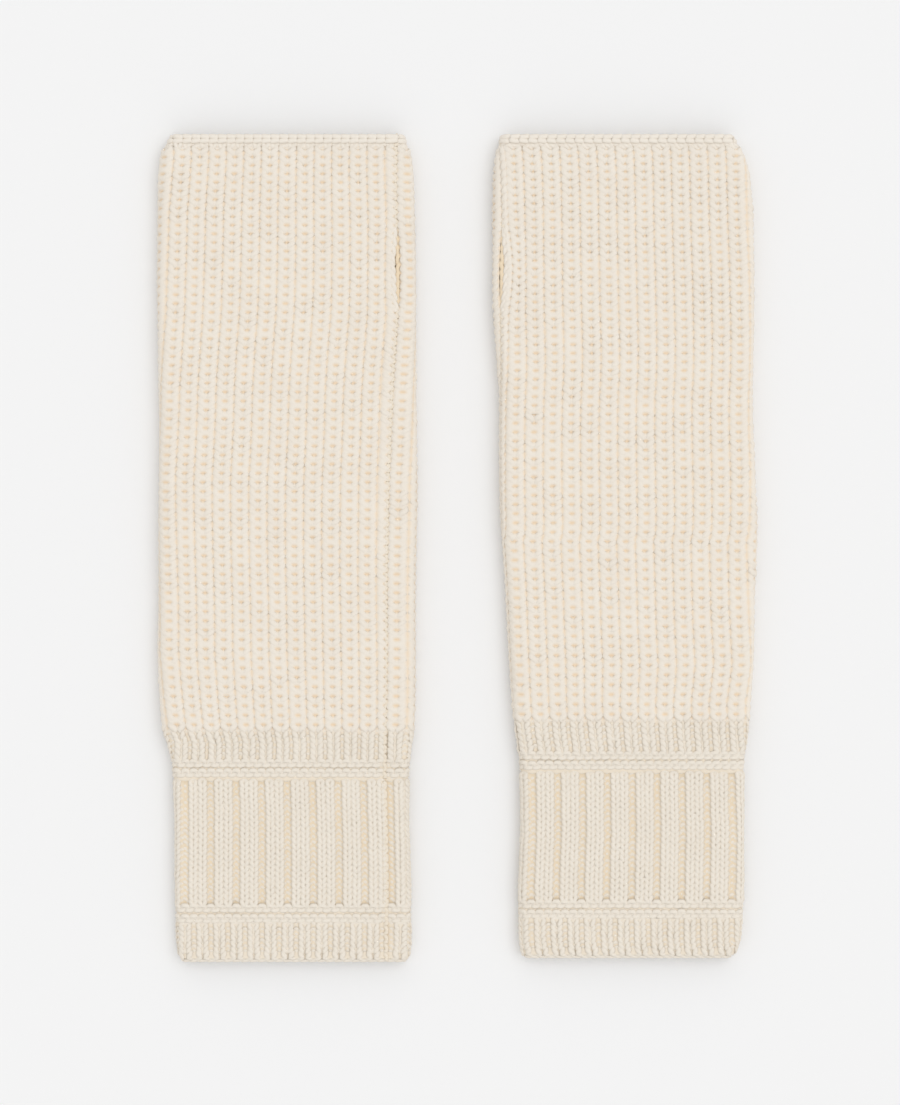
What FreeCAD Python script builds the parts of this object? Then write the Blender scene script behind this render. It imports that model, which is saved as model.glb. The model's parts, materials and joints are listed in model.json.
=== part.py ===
"""A pair of long knitted fingerless gloves, lying flat side by side.

Millimetres, +Z up, +Y towards the fingers. The origin is under the middle of the pair.
Each glove is a flattened knitted tube: a front and a back wall that meet in two round side
folds, joined along one side by a lengthwise seam with a thumb slit left open in it.
The tube is divided where its stitch changes, and the cuff is its own moving section.
"""
import FreeCAD
import Part
import os

Vector = FreeCAD.Vector

# The knitted wall
THICKNESS = 11.0
WALL = 3.2
SIDE_RADIUS = THICKNESS / 2
MIDDLE_Z = THICKNESS / 2

# The seam and the slit in it
SEAM_HALF_WIDTH = 2.0
SLIT_HALF_WIDTH = 2.4
SLIT_EDGE_WIDTH = 2.0
SLIT_BOTTOM_Y = 92.0
SLIT_TOP_Y = 122.5

# The cuff's fold line: the cuff's sections start this far below the sleeve's
FOLD_GAP = 0.3

# Room that a cutting block has past the glove
MARGIN = 5.0
FAR_OUTSIDE = 40.0

# Outline of each glove: (y, x of the left side, x of the right side), from fingers to wrist
LEFT_OUTLINE = (
    (160.0, -109.5, -21.5),
    (155.0, -115.0, -18.0),
    (146.0, -116.4, -16.2),
    (130.0, -116.7, -15.6),
    (-40.0, -116.7, -15.6),
    (-71.0, -114.8, -15.8),
    (-80.0, -111.6, -17.2),
    (-105.0, -110.6, -18.1),
    (-138.0, -110.4, -17.6),
    (-156.0, -110.4, -17.4),
    (-160.0, -108.5, -19.0),
)
RIGHT_OUTLINE = (
    (160.0, 17.0, 104.5),
    (155.0, 14.2, 110.3),
    (146.0, 12.5, 113.0),
    (130.0, 12.1, 115.0),
    (90.0, 12.9, 114.8),
    (60.0, 15.4, 114.9),
    (10.0, 16.3, 116.7),
    (-30.0, 18.3, 115.6),
    (-67.0, 20.6, 113.0),
    (-82.0, 22.4, 111.6),
    (-110.0, 23.4, 111.6),
    (-138.0, 22.7, 111.6),
    (-154.0, 23.0, 110.5),
    (-158.5, 24.5, 107.0),
)

# Line of the seam and the slit: (y, x)
LEFT_SEAM = (
    (165.0, -23.6),
    (SLIT_TOP_Y, -23.2),
    (SLIT_BOTTOM_Y, -23.2),
    (26.0, -27.4),
    (-165.0, -27.8),
)
RIGHT_SEAM = (
    (165.0, 17.0),
    (SLIT_TOP_Y, 17.0),
    (SLIT_BOTTOM_Y, 17.0),
    (47.0, 17.8),
    (-40.0, 19.4),
    (-71.0, 21.3),
    (-84.0, 22.9),
    (-110.0, 23.8),
    (-165.0, 23.4),
)

# Each section of knitting: (name, y of its lower edge), from fingers to wrist
LEFT_BANDS = (
    ("bound_off_edge", 155.0),
    ("half_cardigan_sleeve", -71.0),
    ("transition_rib", -82.0),
    ("upper_garter_band", -89.6),
    ("wide_rib_cuff", -138.0),
    ("lower_garter_band", -146.0),
    ("hem_rib", -157.0),
    ("cast_on_edge", -160.0),
)
RIGHT_BANDS = (
    ("bound_off_edge", 155.0),
    ("half_cardigan_sleeve", -67.0),
    ("transition_rib", -79.0),
    ("upper_garter_band", -86.6),
    ("wide_rib_cuff", -136.4),
    ("lower_garter_band", -144.2),
    ("hem_rib", -155.5),
    ("cast_on_edge", -158.5),
)
FIRST_CUFF_BAND = "wide_rib_cuff"

# How far the seam section reaches towards the side fold: the left glove's seam lies on the
# front wall, and the right glove's seam takes the whole side
LEFT_SEAM_REACH = SEAM_HALF_WIDTH
RIGHT_SEAM_REACH = FAR_OUTSIDE


def flattened_ring(y, left_x, right_x, inset):
    """Outline of the tube in the plane at y: two flat runs and two half circles."""
    radius = SIDE_RADIUS - inset
    low_z = inset
    high_z = THICKNESS - inset
    start_x = left_x + SIDE_RADIUS
    end_x = right_x - SIDE_RADIUS
    top_left = Vector(start_x, y, high_z)
    top_right = Vector(end_x, y, high_z)
    bottom_right = Vector(end_x, y, low_z)
    bottom_left = Vector(start_x, y, low_z)
    right_tip = Vector(end_x + radius, y, MIDDLE_Z)
    left_tip = Vector(start_x - radius, y, MIDDLE_Z)
    edges = [
        Part.LineSegment(top_left, top_right).toShape(),
        Part.Arc(top_right, right_tip, bottom_right).toShape(),
        Part.LineSegment(bottom_right, bottom_left).toShape(),
        Part.Arc(bottom_left, left_tip, top_left).toShape(),
    ]
    return Part.Wire(edges)


def loft_along(outline, inset, overrun):
    """Solid through the outline's stations, its two ends moved out by overrun."""
    wires = []
    last = len(outline) - 1
    for index, (y, left_x, right_x) in enumerate(outline):
        if index == 0:
            y += overrun
        if index == last:
            y -= overrun
        wires.append(flattened_ring(y, left_x, right_x, inset))
    return Part.makeLoft(wires, True, True)


def tube(outline):
    """The whole knitted wall of a glove, open at both ends."""
    return loft_along(outline, 0.0, 0.0).cut(loft_along(outline, WALL, MARGIN))


def slab(low_y, high_y):
    """Block across both gloves between two heights along the glove."""
    width = 400.0
    corner = Vector(-width / 2, low_y, -MARGIN)
    return Part.makeBox(width, high_y - low_y, THICKNESS + 2 * MARGIN, corner)


def strip(path, low_offset, high_offset):
    """Upright wall along the seam line, between two x offsets, above the tube's middle."""
    low_side = [Vector(x + low_offset, y, MIDDLE_Z) for y, x in path]
    high_side = [Vector(x + high_offset, y, MIDDLE_Z) for y, x in reversed(path)]
    corners = low_side + high_side
    face = Part.Face(Part.makePolygon(corners + corners[:1]))
    return face.extrude(Vector(0, 0, THICKNESS))


def export(shape, name):
    """Write one solid to its STEP file."""
    solid = shape.Solids[0]
    print(f"{name:32s} solids {len(shape.Solids)}  volume {solid.Volume:9.1f}  valid {solid.isValid()}")
    solid.exportStep(f"parts/{name}.step")


def glove(side, outline, bands, seam, outward, reach):
    """One glove. outward is the x direction from the seam to its nearest side fold."""
    wall = tube(outline)
    top_y = outline[0][0]
    bottom_y = outline[-1][0]
    fold_y = dict(bands)["upper_garter_band"]

    def along_seam(inner, outer):
        """Strip from inner, away from the side fold, to outer, towards it."""
        offsets = sorted((inner * outward, outer * outward))
        return strip(seam, offsets[0], offsets[1])

    slit_range = slab(SLIT_BOTTOM_Y, SLIT_TOP_Y)
    seam_strip = along_seam(-SEAM_HALF_WIDTH, reach)
    slit_strip = along_seam(-SLIT_HALF_WIDTH - SLIT_EDGE_WIDTH, FAR_OUTSIDE).common(slit_range)
    inner_edge = along_seam(-SLIT_HALF_WIDTH - SLIT_EDGE_WIDTH, -SLIT_HALF_WIDTH)
    outer_edge = along_seam(SLIT_HALF_WIDTH, FAR_OUTSIDE)
    export(wall.common(inner_edge).common(slit_range), f"{side}_slit_palm_edge")
    export(wall.common(outer_edge).common(slit_range), f"{side}_slit_thumb_edge")

    seam_ranges = (
        ("hand_seam", SLIT_TOP_Y, top_y),
        ("sleeve_seam", fold_y, SLIT_BOTTOM_Y),
        ("cuff_seam", bottom_y, fold_y - FOLD_GAP),
    )
    for name, low_y, high_y in seam_ranges:
        export(wall.common(seam_strip).common(slab(low_y, high_y)), f"{side}_{name}")

    panel = wall.cut(seam_strip).cut(slit_strip)
    high_y = top_y
    for name, low_y in bands:
        if name == FIRST_CUFF_BAND:
            high_y -= FOLD_GAP
        export(panel.common(slab(low_y, high_y)), f"{side}_{name}")
        high_y = low_y


os.makedirs("parts", exist_ok=True)
glove("left", LEFT_OUTLINE, LEFT_BANDS, LEFT_SEAM, 1, LEFT_SEAM_REACH)
glove("right", RIGHT_OUTLINE, RIGHT_BANDS, RIGHT_SEAM, -1, RIGHT_SEAM_REACH)
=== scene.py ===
"""A pair of knitted fingerless gloves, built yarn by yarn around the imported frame.

Each glove is a flattened tube of knitting. A point of the tube is given by its wale position
(in ribs, counted from the seam round the tube), its height y along the glove and its depth
(outwards from the middle of the wall). Every course of stitches is one yarn that follows knit
and purl loops in those coordinates, and is then mapped onto the glove's section.
Lengths are in millimetres until a mesh is made.
"""
import json
import math

import bpy
import numpy as np
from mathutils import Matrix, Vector
from mathutils.bvhtree import BVHTree

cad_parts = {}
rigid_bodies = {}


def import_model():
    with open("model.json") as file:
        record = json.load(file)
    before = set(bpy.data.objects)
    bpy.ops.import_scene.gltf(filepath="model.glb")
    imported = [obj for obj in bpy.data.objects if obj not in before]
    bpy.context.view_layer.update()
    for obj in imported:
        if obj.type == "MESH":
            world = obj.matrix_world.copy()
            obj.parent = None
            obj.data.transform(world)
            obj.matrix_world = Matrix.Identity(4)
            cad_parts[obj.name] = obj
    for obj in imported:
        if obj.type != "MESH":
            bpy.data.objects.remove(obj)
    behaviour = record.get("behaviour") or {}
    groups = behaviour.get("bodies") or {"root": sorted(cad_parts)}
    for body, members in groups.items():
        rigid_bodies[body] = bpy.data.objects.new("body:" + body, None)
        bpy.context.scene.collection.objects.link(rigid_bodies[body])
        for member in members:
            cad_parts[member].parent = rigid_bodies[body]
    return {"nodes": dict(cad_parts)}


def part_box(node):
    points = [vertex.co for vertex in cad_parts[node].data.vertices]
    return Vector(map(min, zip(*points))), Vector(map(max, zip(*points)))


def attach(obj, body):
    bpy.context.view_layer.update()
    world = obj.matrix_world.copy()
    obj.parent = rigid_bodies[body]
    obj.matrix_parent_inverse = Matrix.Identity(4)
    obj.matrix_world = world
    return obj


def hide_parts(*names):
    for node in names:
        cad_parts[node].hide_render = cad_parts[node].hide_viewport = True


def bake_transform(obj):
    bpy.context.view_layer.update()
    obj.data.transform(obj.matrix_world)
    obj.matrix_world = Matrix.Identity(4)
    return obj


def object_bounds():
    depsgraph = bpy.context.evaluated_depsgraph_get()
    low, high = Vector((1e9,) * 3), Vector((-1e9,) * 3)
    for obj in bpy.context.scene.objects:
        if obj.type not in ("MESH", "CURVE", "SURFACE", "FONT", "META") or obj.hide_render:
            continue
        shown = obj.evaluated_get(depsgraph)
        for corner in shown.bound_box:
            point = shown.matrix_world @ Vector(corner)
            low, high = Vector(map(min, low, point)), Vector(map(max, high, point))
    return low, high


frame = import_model()
cad_low, cad_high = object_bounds()

MM = 0.001
TAU = 2 * math.pi
SEED = 41

# The knitted tube
RIBS = 28.5                # ribs round a glove, from the seam to the seam
WALES = 57                 # plain wales round a glove: two to a rib
RIB_WIDTH = 7.0            # of a rib as its stitches are drawn, before it is fitted to a glove
SKIN = 1.95                # from the middle of the wall to the outside of the stitches
SLEEVE_ROWS = 65
ROWS_PER_PIECE = 17
SEAM_HALF_WIDTH = 2.0      # of the seam's own section
SEAM_PITCH = 3.5           # from one step of the sewing yarn to the next but one
SEAM_REACH = 0.12          # how near to the seam the courses sink inwards, in ribs
SLIT_BOW = 0.13            # how far each edge of the thumb slit is drawn aside, in ribs
SLIT_SPREAD = 0.8          # how far from the slit that is felt, in ribs

# The flat glove
THICKNESS = 10.6
CUFF_THINNER = 1.3         # than the sleeve
FINGERS_THINNER = 1.2
SIDE_LEVEL = 0.48          # share of the thickness at which the outline is taken
SEAM_LEVEL = 0.85          # share of the thickness at which the seam's side is taken
OUTSIDE = 1000.0           # an x beyond both gloves
SMOOTHING = 3              # how far an outline is averaged each way

# The matted sheet behind the loops of the sleeve
MATTED = 1.42              # depth of the sheet between its dips
HOLE_DEPTH = 0.85
HOLE_HALF_WIDTH = 1.15
HOLE_HALF_HEIGHT = 0.6
HOLE_RISE = 0.75           # from the middle of a loop up to the hole
GROOVE_WIDTH = 0.55
TUCK_RIB = 7.1             # width of a rib, by which the dips are drawn
TUCK_STEPS = 7             # points of the sheet to a row; a rib has twice as many

# Yarn
RIB_YARN = 0.98
SEAM_YARN = 0.85
SLIT_YARN = 0.95
JITTER = 0.05              # how uneven the stitches are
GARTER_JITTER = 0.04
BAND_SINK = 0.8            # how deep the courses of a band sink at the seam
TUBE_SIDES = 6
FLATNESS = 0.55            # thickness of a yarn over its width, where it lies in the cloth


# ---------------------------------------------------------------- the frame's measures

def y_range(name):
    """Lowest and highest y of a CAD node, in millimetres."""
    low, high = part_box(name)
    return low.y / MM, high.y / MM


def first_surface(names, start, heading, level):
    """Heights y and the x where a line across from start first meets these CAD nodes.

    heading is 1 or -1, and level is a share of the gloves' thickness.
    """
    vertices, faces = [], []
    for name in names:
        mesh = frame["nodes"][name].data
        faces += [[len(vertices) + i for i in p.vertices] for p in mesh.polygons]
        vertices += [v.co.copy() for v in mesh.vertices]
    tree = BVHTree.FromPolygons(vertices, faces)
    z = cad_low.z + level * (cad_high.z - cad_low.z)
    ys = [v.y / MM for v in vertices]
    rows = []
    for y in range(math.ceil(min(ys)), math.floor(max(ys)) + 1):
        hit = tree.ray_cast(Vector((start * MM, (y + 0.03) * MM, z)), Vector((heading, 0, 0)))[0]
        if hit is not None:
            rows.append((y, hit.x / MM))
    return np.array(rows).T


def smooth_table(ys, values, reach):
    """The values on a one-millimetre grid, averaged over reach millimetres each way."""
    grid = np.arange(ys.min() - 2, ys.max() + 3)
    dense = np.interp(grid, ys, values)
    kernel = np.ones(2 * reach + 1) / (2 * reach + 1)
    return grid, np.convolve(np.pad(dense, reach, mode="edge"), kernel, mode="valid")


# ---------------------------------------------------------------- the glove's section

class Glove:
    """One glove's shape. The right glove is worked out mirrored, so its seam is at high x too.

    rib_width and half_rib are tables of (y, millimetres): the width of a rib on the front, and
    what shows of the half rib beside the seam. front_ribs lie flat between the two folds.
    fullness is what the slit adds to that half rib, in millimetres, and gain the share by which
    the lowest rows of the sleeve are taller than the mean row.
    """

    def __init__(self, side, mirror, front_ribs, rib_width, half_rib, fullness, gain):
        self.side = side
        self.mirror = mirror
        self.front_ribs = front_ribs
        self.rib_width = np.array(rib_width).T
        self.half_rib = np.array(half_rib).T
        self.fullness = fullness
        self.gain = gain
        names = [n for n in frame["nodes"] if n.startswith(side)]
        ys, low = first_surface(names, -OUTSIDE * mirror, mirror, SIDE_LEVEL)
        self.grid, self.low = smooth_table(ys, mirror * low, SMOOTHING)
        ys, high = first_surface(names, OUTSIDE * mirror, -mirror, SIDE_LEVEL)
        _, self.high = smooth_table(ys, mirror * high, SMOOTHING)
        seams = [f"{side}_{n}" for n in ("hand_seam", "sleeve_seam", "cuff_seam")]
        middle = float(np.mean(self.low + self.high)) / 2 * mirror
        ys, inner = first_surface(seams, middle, mirror, SEAM_LEVEL)
        self.seam_grid, self.seam = smooth_table(ys, mirror * inner + SEAM_HALF_WIDTH, SMOOTHING)
        self.fold_y = y_range(f"{side}_upper_garter_band")[0]
        slit_low, slit_high = y_range(f"{side}_slit_palm_edge")
        self.slit_y = (slit_low + slit_high) / 2
        self.slit_half = (slit_high - slit_low) / 2
        self.rng = np.random.default_rng(SEED + (mirror < 0))

    def height(self, y):
        """Thickness of the flat glove: a little less at the cuff and at the finger end."""
        cuff = np.clip((self.fold_y + 25.0 - y) / 30.0, 0, 1)
        finger = np.clip((y - 146.0) / 14.0, 0, 1)
        wave = 0.25 * np.sin(y / 23.0) + 0.15 * np.sin(y / 9.0 + 1.3)
        return THICKNESS + wave - CUFF_THINNER * cuff - FINGERS_THINNER * finger

    def sides(self, y):
        """Lowest and highest x of the middle of the wall, and the side fold's radius."""
        radius = self.height(y) / 2 - SKIN
        return (np.interp(y, self.grid, self.low) + SKIN,
                np.interp(y, self.grid, self.high) - SKIN, radius)

    def knots(self, y):
        """Rib positions and the distances round the tube that they fall at, at height y."""
        low, high, radius = self.sides(y)
        around = 2 * (high - low - 2 * radius) + TAU * radius
        seam_x = np.interp(y, self.seam_grid, self.seam)
        start = high - radius
        turn = math.acos(min(max((seam_x - start) / radius, -1), 1))
        seam = radius * turn if seam_x > start else radius * math.pi / 2 + start - seam_x
        near_slit = math.exp(-((y - self.slit_y) / self.slit_half) ** 2)
        first = seam + np.interp(y, *self.half_rib)
        rib = np.interp(y, *self.rib_width)
        front = first + self.front_ribs * rib
        last = 0.5 + self.front_ribs
        end = seam + around
        far = (end - front) / (RIBS - last)
        return ([0.0, 0.5, 1.5, last, RIBS - 1.0, RIBS],
                [seam, first + self.fullness * near_slit, first + rib, front, end - far * 1.1, end])

    def place(self, rib, y, depth, row_y):
        """Points, in millimetres, and outward directions, of panel coordinates.

        rib, y and depth are arrays of (rows, points); row_y is each row's own height.
        """
        around = np.empty_like(y)
        for index, height in enumerate(row_y):
            here = np.interp(rib[index], *self.knots(height))
            above = np.interp(rib[index], *self.knots(height + 1.0))
            around[index] = here + (above - here) * (y[index] - height)
        low, high, radius = self.sides(y)
        flat = high - low - 2 * radius
        quarter = radius * math.pi / 2
        around = np.mod(around, 4 * quarter + 2 * flat)
        cases = [around < quarter, around < quarter + flat, around < 3 * quarter + flat,
                 around < 3 * quarter + 2 * flat]
        turn = np.select(cases, [
            around / radius,
            math.pi / 2,
            math.pi / 2 + (around - quarter - flat) / radius,
            1.5 * math.pi,
        ], 1.5 * math.pi + (around - 3 * quarter - 2 * flat) / radius)
        centre = np.select(cases, [
            high - radius,
            high - radius - (around - quarter),
            low + radius,
            low + radius + (around - 3 * quarter - flat),
        ], high - radius)
        out_x, out_z = np.cos(turn), np.sin(turn)
        x = centre + (radius + depth) * out_x
        z = radius + SKIN + (radius + depth) * out_z
        # the cloth does not lie quite straight
        x = x + 0.35 * np.sin(y / 31.0 + 0.7) + 0.2 * np.sin(y / 12.0 + x / 40.0)
        points = np.stack([self.mirror * x, y, np.maximum(z, 0.05)], axis=-1)
        outward = np.stack([self.mirror * out_x, np.zeros_like(y), out_z], axis=-1)
        return points, outward

    def open_slit(self, ribs, heights):
        """Rib positions with the two edges of the slit drawn apart, most in its middle."""
        bow = np.sqrt(np.clip(1 - np.square((heights - self.slit_y) / self.slit_half), 0, 1))
        pull = np.exp(-ribs / SLIT_SPREAD) - np.exp((ribs - RIBS) / SLIT_SPREAD)
        return ribs + SLIT_BOW * bow * pull


# ---------------------------------------------------------------- yarn

def tubes(points, outward, radius):
    """Closed-ended round yarns along points, which are (yarns, points, 3).

    Returns vertices, quads, end faces and the quads' corners' (length, share of the turn).
    """
    yarns, count, _ = points.shape
    tangent = np.gradient(points, axis=1)
    tangent /= np.linalg.norm(tangent, axis=2, keepdims=True) + 1e-9
    across = np.cross(tangent, outward)
    across /= np.linalg.norm(across, axis=2, keepdims=True) + 1e-9
    up = np.cross(across, tangent) * FLATNESS
    angle = np.arange(TUBE_SIDES) * TAU / TUBE_SIDES
    ring = (across[:, :, None] * np.cos(angle)[:, None] + up[:, :, None] * np.sin(angle)[:, None])
    radius = np.broadcast_to(radius, (yarns, count))
    vertices = (points[:, :, None] + ring * radius[:, :, None, None]).reshape(-1, 3)

    first = np.arange(yarns)[:, None] * count * TUBE_SIDES
    base = first[:, :, None] + np.arange(count - 1)[None, :, None] * TUBE_SIDES
    side = np.arange(TUBE_SIDES)[None, None, :]
    after = (side + 1) % TUBE_SIDES
    quads = np.stack([base + side, base + after, base + TUBE_SIDES + after,
                      base + TUBE_SIDES + side], axis=-1).reshape(-1, 4)
    ends = np.concatenate([first + np.arange(TUBE_SIDES)[::-1],
                           first + (count - 1) * TUBE_SIDES + np.arange(TUBE_SIDES)])

    length = np.linalg.norm(np.diff(points, axis=1), axis=2).cumsum(axis=1)
    length = np.concatenate([np.zeros((yarns, 1)), length], axis=1)
    low_u = np.repeat(length[:, :-1, None], TUBE_SIDES, axis=2)
    high_u = np.repeat(length[:, 1:, None], TUBE_SIDES, axis=2)
    low_v = np.broadcast_to(side / TUBE_SIDES, low_u.shape)
    high_v = low_v + 1 / TUBE_SIDES
    coords = np.stack([
        np.stack([low_u, low_v], axis=-1), np.stack([low_u, high_v], axis=-1),
        np.stack([high_u, high_v], axis=-1), np.stack([high_u, low_v], axis=-1),
    ], axis=3).reshape(-1, 2)
    return vertices, quads, ends, coords


def sheet(glove, ribs, heights, depths, dips, ys):
    """A sheet through points of panel coordinates. Its corner coordinates hold (0, dip), and the
    dip sets how much painted shade the inner wools give it.
    """
    points, _ = glove.place(ribs, heights, depths, ys)
    index = np.arange(ribs.size).reshape(ribs.shape)
    quads = np.stack([index[:-1, :-1], index[1:, :-1], index[1:, 1:], index[:-1, 1:]],
                     axis=-1).reshape(-1, 4)
    dip = dips.ravel()[quads.ravel()]
    return (points.reshape(-1, 3), quads, np.zeros((0, TUBE_SIDES), int),
            np.stack([np.zeros_like(dip), dip], axis=-1))


def web(glove, row_y, depth_of):
    """The haze of fibres between the yarns, which closes the gaps. Deeper parts are dips, which the
    inner wools paint in warm shade.
    """
    low, high = row_y
    ys = np.linspace(low, high, max(2, int((high - low) / 1.7) + 1))
    rib = np.linspace(0.0, RIBS, int(RIBS * 8) + 1)
    ribs = np.broadcast_to(rib, (len(ys), len(rib)))
    heights = np.repeat(ys[:, None], len(rib), axis=1)
    depths = turn_in(ribs, depth_of(ribs), 0.4)
    return sheet(glove, ribs, heights, depths, np.clip(1.0 - depths, 0, 1), ys)


def tuck_sheet(glove, row_y, first, last):
    """The tuck strands behind the loops of rows first to last, matted into one soft sheet.

    It fills the creases between the loops' legs, and dips into the hole in the middle of every
    stitch and along the grooves between the ribs.
    """
    low, high = y_range(f"{glove.side}_half_cardigan_sleeve")
    pitch = (high - low) / len(row_y)
    below = TUCK_STEPS // 2 if first else TUCK_STEPS
    steps = np.arange(TUCK_STEPS * first - below, TUCK_STEPS * last - 2) / TUCK_STEPS
    every_y = [row_y[0] - pitch, *row_y, row_y[-1] + pitch]
    ys = np.interp(steps, np.arange(-1, len(row_y) + 1), every_y) + HOLE_RISE
    phase = (steps - np.round(steps))[:, None]
    rib = np.arange(0, RIBS + 0.01, 1 / (2 * TUCK_STEPS))
    ribs = np.broadcast_to(rib, (len(ys), len(rib)))
    heights = np.repeat(ys[:, None], len(rib), axis=1)
    aside = np.abs(ribs - np.round(ribs)) * TUCK_RIB
    hole = np.exp(-(aside / HOLE_HALF_WIDTH) ** 4 - (phase * pitch / HOLE_HALF_HEIGHT) ** 2)
    groove = np.exp(-np.square((aside - TUCK_RIB / 2) / GROOVE_WIDTH))
    groove = groove * (0.62 - 0.13 * np.cos(TAU * phase))
    # the dips also set the sheet's painted warm shade in the holes and grooves
    dips = np.clip(hole + groove, 0, 1)
    end = np.clip(np.minimum(heights - low, high - heights) / 2.5, 0, 1)
    depths = turn_in(ribs, MATTED - HOLE_DEPTH * dips - 0.5 * (1 - end) ** 2, 0.5)
    return sheet(glove, glove.open_slit(ribs, heights), heights, depths, dips, ys)


def make_piece(name, parts):
    """One mesh object of several sets of vertices, quads, end faces and corner coordinates."""
    vertices, quads, ends, coords = [], [], [], []
    offset = 0
    for part_vertices, part_quads, part_ends, part_coords in parts:
        vertices.append(part_vertices)
        quads.append(part_quads + offset)
        ends.append(part_ends + offset)
        coords.append(part_coords)
        offset += len(part_vertices)
    vertices, quads, ends, coords = map(np.concatenate, (vertices, quads, ends, coords))
    coords = np.concatenate([coords, np.zeros((ends.size, 2))])
    loops = np.concatenate([quads.ravel(), ends.ravel()])
    sizes = np.concatenate([np.full(len(quads), 4), np.full(len(ends), TUBE_SIDES)])
    starts = np.concatenate([[0], np.cumsum(sizes)[:-1]])

    mesh = bpy.data.meshes.new(name)
    mesh.vertices.add(len(vertices))
    mesh.vertices.foreach_set("co", (vertices * MM).astype(np.float32).ravel())
    mesh.loops.add(len(loops))
    mesh.loops.foreach_set("vertex_index", loops.astype(np.int32))
    mesh.polygons.add(len(sizes))
    mesh.polygons.foreach_set("loop_start", starts.astype(np.int32))
    mesh.update(calc_edges=True)
    layer = mesh.uv_layers.new(name="yarn")
    layer.data.foreach_set("uv", coords.astype(np.float32).ravel())
    mesh.polygons.foreach_set("use_smooth", np.ones(len(sizes), bool))
    of_sheet = [np.full(len(part[1]), len(part[2]) == 0) for part in parts]
    of_sheet.append(np.zeros(len(ends), bool))
    mesh.polygons.foreach_set("material_index", np.concatenate(of_sheet).astype(np.int32))
    mesh.validate()
    piece = bpy.data.objects.new(name, mesh)
    bpy.context.scene.collection.objects.link(piece)
    return piece


def smooth_along(values, passes=1):
    """Runs a short average along each yarn, so that loops join smoothly."""
    for _ in range(passes):
        padded = np.pad(values, ((0, 0), (1, 1)), mode="edge")
        values = (padded[:, :-2] + 2 * padded[:, 1:-1] + padded[:, 2:]) / 4
    return values


class Stitch:
    """The shape of one kind of loop: how far its parts lie from its middle, in millimetres."""

    def __init__(self, samples, width, neck, middle, shoulder, foot, top, relief, tip, lift,
                 face, yarn, squeeze=0.0, slant=0.0):
        self.samples = samples
        self.width = width          # from sinker to sinker
        # x = width * turn / TAU + lean sin 2t + spread sin t + pinch sin 3t
        half = math.sqrt(0.5)
        both = (neck + shoulder - 0.5 * width) / (2 * half)
        apart = middle - 0.25 * width
        self.spread = (both + apart) / 2
        self.pinch = (both - apart) / 2
        self.lean = 0.375 * width - neck + half * both
        # y = rise cos t - settle cos 3t, which is top at the head and -foot at the neck
        self.rise = (foot / half + top) / 2
        self.settle = (foot / half - top) / 2
        self.relief = relief        # how far the legs stand before the head and the sinkers
        self.tip = tip              # how far the neck stands before the shoulders
        self.lift = lift            # depth of the loop's middle
        self.face = face            # 1 for knit, -1 for purl
        self.yarn = yarn
        self.squeeze = squeeze      # share by which the yarn is thinner at the head
        self.slant = slant          # rise to the right over distance across

    def path(self, reach=math.pi):
        """Points of the loop, from -reach to reach: across, along, outwards, and yarn radius."""
        turn = ((np.arange(self.samples) + 0.5) / self.samples * 2 - 1) * reach
        across = (self.width * turn / TAU + self.lean * np.sin(2 * turn)
                  + self.spread * np.sin(turn) + self.pinch * np.sin(3 * turn))
        along = self.rise * np.cos(turn) - self.settle * np.cos(3 * turn) + self.slant * across
        legs = np.tanh(0.9 - 2.2 * np.cos(2 * turn))
        out = self.relief * legs - self.tip * np.cos(turn)
        slim = 1 - 0.3 * np.square(0.5 + 0.5 * np.cos(2 * turn))
        thick = self.yarn * slim * (1 - self.squeeze * np.cos(turn))
        return across, along, self.lift + self.face * out, thick


def knit_courses(glove, row_y, wales, jitter):
    """Panel coordinates and yarn radius of courses. wales is a list of (centre in ribs, Stitch).

    The yarns are cut off at the seam, which takes their ends in.
    """
    rib, along, depth, radius, wale = [], [], [], [], []
    for index, (centre, stitch) in enumerate(wales):
        across, up, out, thick = stitch.path()
        rib.append(centre + across / RIB_WIDTH)
        along.append(up)
        depth.append(out)
        radius.append(thick)
        wale.append(np.full(stitch.samples, index))
    rib, along, depth, radius, wale = map(np.concatenate, (rib, along, depth, radius, wale))
    keep = (rib >= 0) & (rib <= RIBS)
    rib, along, depth, radius, wale = (a[keep] for a in (rib, along, depth, radius, wale))
    size = (len(row_y), len(wales))
    rng = glove.rng

    def uneven(share):
        """A random value for each stitch, run smoothly into the next."""
        return smooth_along(jitter * share * rng.normal(size=size)[:, wale], 4)

    ribs = rib + uneven(0.16)
    heights = np.asarray(row_y)[:, None] + along * (1 + uneven(1.0)) + uneven(1.2)
    depths = smooth_along(depth + uneven(1.6), 2)
    radii = smooth_along(radius * (1 + uneven(0.5)), 2)
    return ribs, heights, depths, radii


def turn_in(ribs, depths, sink):
    """Lets the two ends of each course sink inwards at the seam."""
    near = np.minimum(ribs, RIBS - ribs)
    return depths - sink * np.exp(-np.square(near / SEAM_REACH))


def course_tubes(glove, row_y, courses, sink):
    """Tubes of the yarns of courses, which are what knit_courses returns."""
    ribs, heights, depths, radii = courses
    depths = turn_in(ribs, depths, sink)
    points, outward = glove.place(glove.open_slit(ribs, heights), heights, depths, row_y)
    return tubes(points, outward, radii)


def yarn_lines(glove, lines, yarn):
    """Tubes of yarns that may run any way: lines is a list of (ribs, heights, depths)."""
    points, outward = [], []
    for rib, y, depth in lines:
        spots, out = glove.place(rib[:, None], y[:, None], depth[:, None], y)
        points.append(spots[:, 0])
        outward.append(out[:, 0])
    return tubes(np.array(points), np.array(outward), yarn)


# ---------------------------------------------------------------- materials

PLIES = 2
PLY_LENGTH = 3.2           # along the yarn for one turn of its plies, in millimetres


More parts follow.
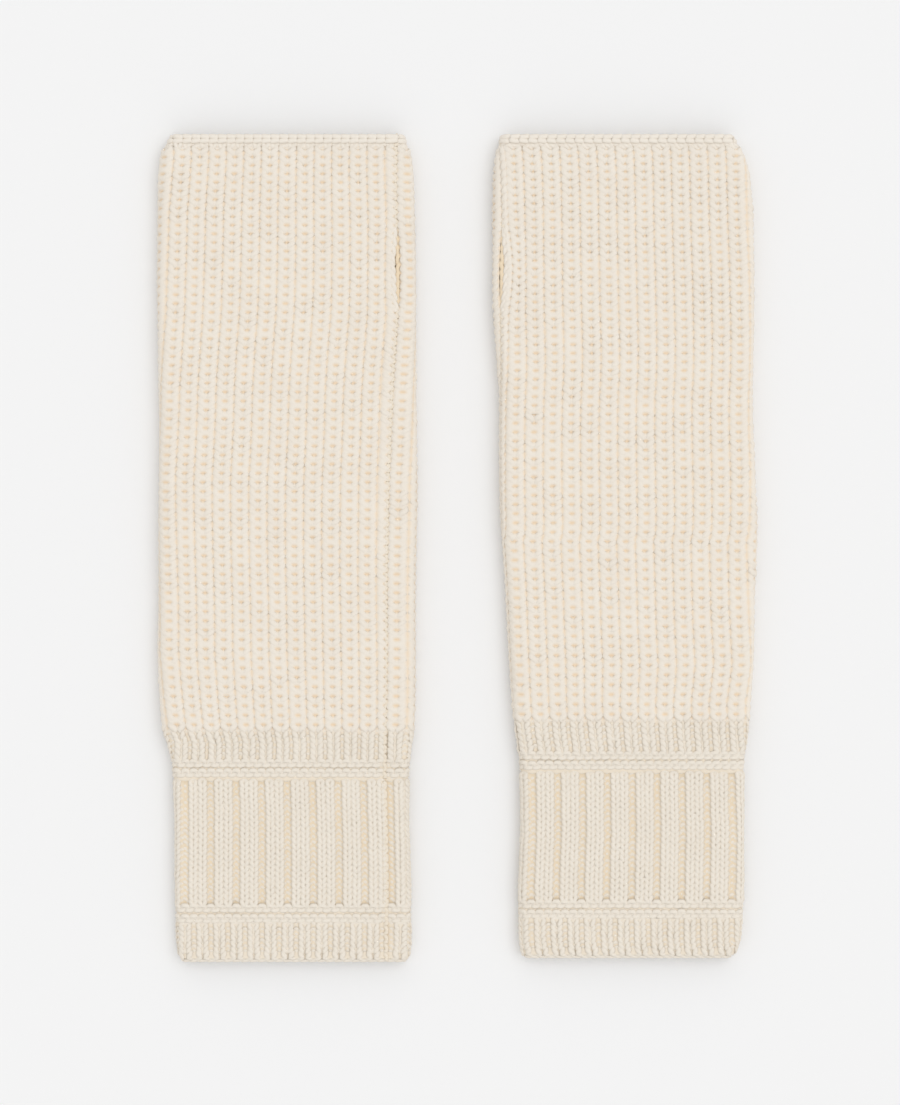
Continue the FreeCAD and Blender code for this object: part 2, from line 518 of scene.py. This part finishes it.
def wool(name, light, shade, twist, deep=None):
    """Soft plied yarn: mottled from light to shade, with twisted plies and a fine fibre grain.

    twist is how strongly the plies show, and deep the painted warm shade that a sheet turns to in
    its dips.
    """
    material = bpy.data.materials.new(name)
    material.use_nodes = True
    nodes = material.node_tree.nodes
    links = material.node_tree.links
    shader = nodes["Principled BSDF"]
    shader.inputs["Roughness"].default_value = 0.95
    shader.inputs["Specular IOR Level"].default_value = 0.1
    shader.inputs["Sheen Weight"].default_value = 0.1
    shader.inputs["Sheen Roughness"].default_value = 0.6
    shader.inputs["Sheen Tint"].default_value = (1.0, 0.96, 0.9, 1.0)

    place = nodes.new("ShaderNodeTexCoord")
    cloud = nodes.new("ShaderNodeTexNoise")
    cloud.inputs["Scale"].default_value = 90.0
    cloud.inputs["Detail"].default_value = 3.0
    fibre = nodes.new("ShaderNodeTexNoise")
    fibre.inputs["Scale"].default_value = 2600.0
    fibre.inputs["Detail"].default_value = 2.0
    links.new(place.outputs["Object"], cloud.inputs["Vector"])
    links.new(place.outputs["Object"], fibre.inputs["Vector"])

    def calculate(operation, source, factor=None, added=None):
        """The output of a node that works on source, times factor, plus another output."""
        node = nodes.new("ShaderNodeMath")
        node.operation = operation
        links.new(source, node.inputs[0])
        if factor is not None:
            node.inputs[1].default_value = factor
        if added is not None:
            links.new(added, node.inputs[2])
        return node.outputs[0]

    grain = calculate("MULTIPLY", fibre.outputs["Fac"], 0.45)
    mottle = calculate("MULTIPLY_ADD", cloud.outputs["Fac"], 0.55, grain)
    ramp = nodes.new("ShaderNodeValToRGB")
    ramp.color_ramp.elements[0].position = 0.32
    ramp.color_ramp.elements[0].color = (*shade, 1)
    ramp.color_ramp.elements[1].position = 0.68
    ramp.color_ramp.elements[1].color = (*light, 1)
    links.new(mottle, ramp.inputs["Fac"])

    yarn = nodes.new("ShaderNodeUVMap")
    yarn.uv_map = "yarn"
    parts = nodes.new("ShaderNodeSeparateXYZ")
    links.new(yarn.outputs["UV"], parts.inputs[0])
    if deep is None:
        links.new(ramp.outputs["Color"], shader.inputs["Base Color"])
    else:
        # painted shade: the sheet's colour runs to deep as its dips deepen
        tint = nodes.new("ShaderNodeMixRGB")
        tint.inputs["Color2"].default_value = (*deep, 1)
        links.new(parts.outputs["Y"], tint.inputs["Fac"])
        links.new(ramp.outputs["Color"], tint.inputs["Color1"])
        links.new(tint.outputs["Color"], shader.inputs["Base Color"])
    along = calculate("MULTIPLY", parts.outputs["X"], TAU / PLY_LENGTH)
    around = calculate("MULTIPLY_ADD", parts.outputs["Y"], PLIES * TAU, along)
    ply = calculate("MULTIPLY_ADD", calculate("SINE", around), twist, fibre.outputs["Fac"])
    bump = nodes.new("ShaderNodeBump")
    bump.inputs["Strength"].default_value = 0.25
    bump.inputs["Distance"].default_value = 0.0003
    links.new(ply, bump.inputs["Height"])
    links.new(bump.outputs["Normal"], shader.inputs["Normal"])
    return material


SLEEVE_CREAM = ((0.871, 0.81, 0.721), (0.838, 0.769, 0.678))
RIB_CREAM = ((0.862, 0.8, 0.708), (0.832, 0.765, 0.668))
SLEEVE_WOOL = wool("sleeve_wool", *SLEEVE_CREAM, 0.25)
# cream sheet behind the sleeve's loops, with painted warm shade in its dips, the crevices between
# the yarns
INNER_WOOL_PAINTED_SHADE = wool("inner_wool_painted_shade", *SLEEVE_CREAM, 0.0, deep=(0.88, 0.70, 0.50))
RIB_WOOL = wool("rib_wool", *RIB_CREAM, 0.2)
# cream haze between the rib yarns, with painted warm shade in its dips, the crevices between the
# yarns
INNER_RIB_WOOL_PAINTED_SHADE = wool("inner_rib_wool_painted_shade", *RIB_CREAM, 0.0, deep=(0.84, 0.71, 0.53))
# the sewing yarn is the sleeve's wool, given a warmer, darker cream as painted shade of the seam's
# groove
SEAM_WOOL_PAINTED_SHADE = wool("seam_painted_shade_wool", (0.87, 0.79, 0.67), (0.84, 0.75, 0.62), 0.2)
# the sleeve's wool in warm orange: painted shade on the rolled-in edge of the thumb slit
SLIT_WOOL_PAINTED_SHADE = wool("slit_painted_shade_wool", (0.88, 0.74, 0.55), (0.84, 0.69, 0.49), 0.2)
EDGE_WOOL = wool("edge_wool", (0.88, 0.82, 0.735), (0.85, 0.785, 0.695), 0.2)


# ---------------------------------------------------------------- sections of knitting

def finish_piece(piece, glove, material, node, crosses_fold=False, inner=None):
    """Gives a piece its material, hides the CAD node it stands for and attaches it to its body; a
    piece that crosses the fold gets no body, only its transform applied.

    inner is the material of the sheet between its yarns.
    """
    piece.data.materials.append(material)
    piece.data.materials.append(inner or material)
    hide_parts(f"{glove.side}_{node}")
    glove_body = f"{glove.side}_glove"
    cuff_body = f"{glove.side}_cuff"
    if crosses_fold:
        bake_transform(piece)
    else:
        below = y_range(f"{glove.side}_{node}")[1] <= glove.fold_y
        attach(piece, cuff_body if below else glove_body)


def sleeve(glove):
    """The half-cardigan section: fat chain-like ribs with a small hole in every stitch.

    Behind the courses lie the tuck strands that the stitches hold, matted into one sheet.
    """
    low, high = y_range(f"{glove.side}_half_cardigan_sleeve")
    step = (np.arange(SLEEVE_ROWS) + 0.5) / SLEEVE_ROWS
    row_y = low + (high - low) * (step * (1 + glove.gain) - glove.gain * step * step)
    knit = Stitch(samples=18, width=5.8, neck=0.8, middle=2.05, shoulder=2.3, foot=1.35,
                  top=1.9, relief=0.35, tip=0.05, lift=0.65, face=1, yarn=1.3, squeeze=0.12)
    purl = Stitch(samples=6, width=1.2, neck=0.3, middle=0.5, shoulder=0.4, foot=1.5,
                  top=1.7, relief=0.2, tip=0.1, lift=-0.9, face=-1, yarn=0.85)
    wales = []
    for rib in range(29):
        wales.append((float(rib), knit))
        wales.append((rib + 0.5, purl))
    for index, start in enumerate(range(0, SLEEVE_ROWS, ROWS_PER_PIECE)):
        chunk = row_y[start:start + ROWS_PER_PIECE]
        courses = knit_courses(glove, chunk, wales, JITTER)
        yarns = course_tubes(glove, chunk, courses, 0.9)
        piece = make_piece(f"{glove.side}_sleeve_{index + 1}", [yarns])
        finish_piece(piece, glove, SLEEVE_WOOL, "half_cardigan_sleeve")

        sheet_part = tuck_sheet(glove, row_y, start, start + len(chunk))
        piece = make_piece(f"{glove.side}_tuck_{index + 1}", [sheet_part])
        finish_piece(piece, glove, INNER_WOOL_PAINTED_SHADE, "half_cardigan_sleeve")


def plain_band(glove, node, rows, wales, crosses_fold, lead, fill, jitter=JITTER, pieces=1):
    """A band of plain knitting: ribs or purl ridges. wales(row) gives each row's stitches.

    lead is where the first row's middle lies, as a share of a row, and fill the least depth
    of the haze between the yarns.
    """
    low, high = y_range(f"{glove.side}_{node}")
    row_y = low + (high - low) * (np.arange(rows) + lead) / rows
    per_piece = math.ceil(rows / pieces)
    for index, start in enumerate(range(0, rows, per_piece)):
        chunk = row_y[start:start + per_piece]
        courses = [knit_courses(glove, [y], wales(start + k), jitter)
                   for k, y in enumerate(chunk)]
        courses = [np.concatenate(c) for c in zip(*courses)]
        name = f"{glove.side}_{node}" + (f"_{index + 1}" if pieces > 1 else "")
        reach = (row_y[1] - row_y[0]) / 2
        shapes = [wales(start), wales(start + 1)]
        centres = [centre for centre, _ in shapes[0]]
        lifts = np.mean([[shape.lift for _, shape in row] for row in shapes], axis=0)
        parts = [course_tubes(glove, chunk, courses, BAND_SINK),
                 web(glove, (chunk[0] - 1.2 * reach, chunk[-1] + 1.2 * reach),
                     lambda rib: np.maximum(np.interp(rib, centres, lifts) + 0.25, fill))]
        finish_piece(make_piece(name, parts), glove, RIB_WOOL, node, crosses_fold,
                     inner=INNER_RIB_WOOL_PAINTED_SHADE)


def rib_wales(knits, purls, knit_width, purl_width, middle, purl_lift):
    """Stitches of a rib of so many knit and so many purl wales, from the seam round.

    middle is the rib position of the middle of one group of knit wales.
    """
    def stitch(width, leg, lift, face, slant):
        return Stitch(samples=13, width=width, neck=0.62 * leg, middle=leg, shoulder=leg + 0.1,
                      foot=1.15, top=1.5, relief=0.35, tip=0.15, lift=lift, face=face,
                      yarn=max(RIB_YARN, 0.68 * leg), slant=slant)

    knit_leg = knit_width / 2 - 0.7 if knits == 1 else 0.26 * knit_width
    knit = stitch(knit_width, knit_leg, 0.6, 1, 0.0)
    purl = stitch(purl_width, 0.26 * purl_width, purl_lift, -1, 0.15 * knits)
    group = knits + purls
    repeat = knits * knit_width + purls * purl_width
    scale = group / 2 / repeat
    wales = []
    for wale in range(-2 * group, WALES + 2 * group):
        done, place = divmod(wale, group)
        if place < knits:
            offset = (place + 0.5) * knit_width
        else:
            offset = knits * knit_width + (place - knits + 0.5) * purl_width
        centre = middle + (done * repeat + offset - knits * knit_width / 2) * scale
        wales.append((centre, knit if place < knits else purl))
    return lambda row: wales


def garter_wales():
    """Rows of purl ridges: purl rows stand out and knit rows lie back under them."""
    def stitch(lift, face, yarn, foot, top):
        return Stitch(samples=13, width=3.5, neck=0.6, middle=0.85, shoulder=1.05, foot=foot,
                      top=top, relief=0.4, tip=0.1, lift=lift, face=face, yarn=yarn)

    knit, purl = stitch(-0.3, 1, 0.8, 1.0, 1.4), stitch(0.65, -1, 1.15, 0.8, 1.0)
    centres = [(wale + 0.5) / 2 for wale in range(WALES)]

    def wales(row):
        shape = purl if row % 2 else knit
        return [(centre, shape) for centre in centres]

    return wales


def chain(glove, y, loop, lift):
    """A chain of loops that runs round the tube, each through the one before it."""
    across, along, out, _ = loop.path(0.85 * math.pi)
    lines = []
    for start in np.linspace(0.24, RIBS - 0.28, WALES):
        lines.append((start + along / RIB_WIDTH, y + across, lift + out))
    return yarn_lines(glove, lines, loop.yarn)


def bound_off_edge(glove):
    """A last plain row at the fingers and the chain that binds it off."""
    low, high = y_range(f"{glove.side}_bound_off_edge")
    loop = Stitch(samples=14, width=0.0, neck=0.5, middle=0.8, shoulder=0.8, foot=1.6,
                  top=1.9, relief=0.45, tip=0.2, lift=0.0, face=1, yarn=1.05)
    centres = [(wale + 0.5) / 2 for wale in range(WALES)]
    shape = Stitch(samples=13, width=3.4, neck=0.6, middle=0.9, shoulder=0.95, foot=1.2,
                   top=1.5, relief=0.35, tip=0.15, lift=0.3, face=1, yarn=RIB_YARN)
    row_y = np.array([low + 0.6])
    courses = knit_courses(glove, row_y, [(c, shape) for c in centres], JITTER)
    parts = [course_tubes(glove, row_y, courses, BAND_SINK), chain(glove, high - 2.1, loop, 0.8),
             web(glove, (low, high - 1.2), lambda rib: np.full(rib.shape, 0.8))]
    piece = make_piece(f"{glove.side}_bound_off_edge", parts)
    finish_piece(piece, glove, EDGE_WOOL, "bound_off_edge")


def cast_on_edge(glove):
    """The first row at the arm: its loops, spread a little, and the strand they hang from."""
    low, high = y_range(f"{glove.side}_cast_on_edge")
    loop = Stitch(samples=14, width=0.0, neck=0.35, middle=0.65, shoulder=0.65, foot=1.7,
                  top=2.0, relief=0.3, tip=0.1, lift=0.0, face=1, yarn=0.75)
    row_y = np.array([high - 0.3])
    wales = rib_wales(1, 1, 4.7, 2.3, 0.75, 0.0)(0)
    courses = knit_courses(glove, row_y, wales, JITTER)
    parts = [course_tubes(glove, row_y, courses, BAND_SINK), chain(glove, low + 1.1, loop, -0.4),
             web(glove, (low + 1.2, high + 0.8), lambda rib: np.full(rib.shape, 0.65))]
    piece = make_piece(f"{glove.side}_cast_on_edge", parts)
    finish_piece(piece, glove, RIB_WOOL, "cast_on_edge", inner=INNER_RIB_WOOL_PAINTED_SHADE)


def seam(glove, node, crosses_fold):
    """The sewing yarn: it steps from one edge stitch to the other, sunk between them."""
    low, high = y_range(f"{glove.side}_{node}")
    y = np.linspace(low + 0.5, high - 0.5, int((high - low) / SEAM_PITCH) * 8)
    rib = 0.1 * np.tanh(1.6 * np.sin(y / SEAM_PITCH * TAU))
    depth = 0.5 + 0.25 * np.cos(y / SEAM_PITCH * 2 * TAU)
    piece = make_piece(f"{glove.side}_{node}", [yarn_lines(glove, [(rib, y, depth)], SEAM_YARN)])
    finish_piece(piece, glove, SEAM_WOOL_PAINTED_SHADE, node, crosses_fold)


def slit_edge(glove, node, from_seam, inset, depth, material):
    """One edge of the thumb slit: two edge strands, twisted round each other as they roll in.

    inset is how far the strands lie from the slit's middle, in ribs, before it is drawn apart.
    """
    low, high = y_range(f"{glove.side}_{node}")
    y = np.linspace(low - 1.0, high + 1.0, 120)
    sway = 0.03 * np.sin(y / 4.1) + 0.02 * np.sin(y / 1.9)
    lines = []
    for phase in (0, math.pi):
        turn = y / 7.0 * TAU + phase
        rib = from_seam(inset + sway + 0.06 * np.sin(turn))
        lines.append((glove.open_slit(rib, y), y, depth + 0.3 * np.cos(turn)))
    piece = make_piece(f"{glove.side}_{node}", [yarn_lines(glove, lines, SLIT_YARN)])
    finish_piece(piece, glove, material, node)


for old in list(bpy.data.objects):
    if old.type in {"LIGHT", "CAMERA"} or old.name == "Cube":
        bpy.data.objects.remove(old)

GLOVES = (
    Glove("left", 1, front_ribs=12,
          rib_width=((-90, 6.6), (-75, 6.53), (-71.5, 6.68), (-40, 6.95), (30, 7.04), (60, 7.06),
                     (129, 7.0), (150, 6.78)),
          half_rib=((-75, 3.5), (-71.5, 3.3), (-40, 3.8), (60, 4.9), (129, 4.1), (150, 4.6)),
          fullness=0.0, gain=0.06),
    Glove("right", -1, front_ribs=13,
          rib_width=((-84, 6.43), (-79, 6.79), (-60, 6.85), (-45, 7.1), (30, 7.2), (80, 7.16),
                     (150, 7.13)),
          half_rib=((-71, 0.5), (-67, 0.7), (60, 2.2), (107, 1.7), (150, 0.65)),
          fullness=2.0, gain=0.12),
)

for glove in GLOVES:
    bound_off_edge(glove)
    sleeve(glove)
    plain_band(glove, "transition_rib", 5, rib_wales(1, 1, 4.7, 2.3, 0.0, 0.1),
               crosses_fold=True, lead=0.5, fill=0.5)
    plain_band(glove, "upper_garter_band", 4, garter_wales(),
               crosses_fold=True, lead=0.35, fill=0.58, jitter=GARTER_JITTER)
    plain_band(glove, "wide_rib_cuff", 22, rib_wales(2, 1, 3.65, 2.9, 0.5, -0.35),
               crosses_fold=True, lead=0.35, fill=0.0, pieces=2)
    plain_band(glove, "lower_garter_band", 4, garter_wales(),
               crosses_fold=False, lead=0.35, fill=0.58, jitter=GARTER_JITTER)
    plain_band(glove, "hem_rib", 5, rib_wales(1, 1, 4.3, 2.7, 0.75, 0.0),
               crosses_fold=False, lead=0.75, fill=0.4)
    cast_on_edge(glove)
    seam(glove, "hand_seam", crosses_fold=False)
    seam(glove, "sleeve_seam", crosses_fold=True)
    seam(glove, "cuff_seam", crosses_fold=True)
    slit_edge(glove, "slit_palm_edge", lambda rib: rib, 0.09, 0.5, EDGE_WOOL)
    # the thumb edge's rolled-in strands take the painted shade wool
    slit_edge(glove, "slit_thumb_edge", lambda rib: RIBS - rib, -0.17, -0.1, SLIT_WOOL_PAINTED_SHADE)

# ---------------------------------------------------------------- floor, light and camera

def plain(name, color, roughness):
    """A one-colour material for the stage."""
    material = bpy.data.materials.new(name)
    material.use_nodes = True
    shader = material.node_tree.nodes["Principled BSDF"]
    shader.inputs["Base Color"].default_value = (*color, 1)
    shader.inputs["Roughness"].default_value = roughness
    return material


bpy.ops.mesh.primitive_plane_add(size=8.0, location=(0, 0, 0))
floor = bpy.context.active_object
floor.name = "floor"
floor.data.materials.append(plain("floor", (0.9, 0.9, 0.9), 0.9))

world = bpy.data.worlds.new("studio")
bpy.context.scene.world = world
world.use_nodes = True
world.node_tree.nodes["Background"].inputs["Color"].default_value = (1, 1, 1, 1)
world.node_tree.nodes["Background"].inputs["Strength"].default_value = 0.78

sun_data = bpy.data.lights.new("softbox", "SUN")
sun_data.energy = 0.75
sun_data.angle = math.radians(55)
sun = bpy.data.objects.new("softbox", sun_data)
sun.rotation_euler = Vector((0.32, 0.12, 1.0)).to_track_quat("Z", "Y").to_euler()
bpy.context.scene.collection.objects.link(sun)

bpy.context.scene.view_settings.view_transform = "Standard"

LENS = 100
SENSOR = 36
TOP = 0.0095               # height of the gloves' upper faces, in metres
VIEW_LENGTH = 0.4265       # metres that the longer side of the view takes in at that height

camera_data = bpy.data.cameras.new("camera")
camera_data.lens = LENS
camera_data.sensor_width = SENSOR
camera = bpy.data.objects.new("camera", camera_data)
camera.location = (-0.0031, -0.0019, TOP + VIEW_LENGTH * LENS / SENSOR)
bpy.context.scene.collection.objects.link(camera)
bpy.context.scene.camera = camera
